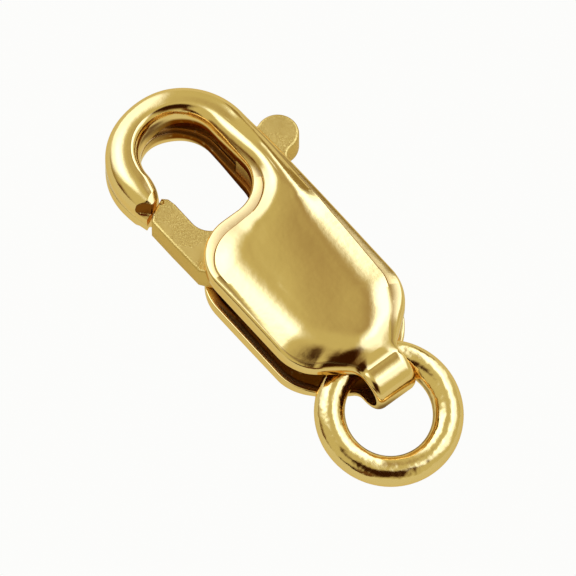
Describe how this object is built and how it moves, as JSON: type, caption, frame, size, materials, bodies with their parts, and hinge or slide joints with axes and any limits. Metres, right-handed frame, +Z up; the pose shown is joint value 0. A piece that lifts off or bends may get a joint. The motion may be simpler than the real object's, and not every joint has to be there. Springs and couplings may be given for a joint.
{
  "type": "lobster clasp",
  "caption": "Small gold lobster claw clasp for a necklace or bracelet, with a sprung gate lever, a folded eye and a round jump ring through the eye.",
  "frame": {"origin": "middle of the whole outline, on the surface that the clasp lies on", "axes": "+X from the hook's crown towards the jump ring, +Y towards the thumb tab, +Z up out of the clasp's front face"},
  "size_m": [0.0122, 0.005, 0.0024],
  "materials": {
    "body_gold": "polished gold",
    "lever_gold": "fine matt gold",
    "pin_gold": "plain gold",
    "ring_gold": "polished gold"
  },
  "bodies": {
    "clasp": {"clasp_body": "body_gold", "pivot_pin": "pin_gold", "jump_ring": "ring_gold"},
    "lever": {"lever": "lever_gold"}
  },
  "joints": [
    {"name": "lever_pivot", "type": "hinge", "parent": "clasp", "child": "lever", "pos_m": [-0.00086, -0.00095, 0.00119], "axis": [0, 0, 1], "range_deg": [-25, 0], "stiffness_Nm_per_rad": 0.003}
  ]
}
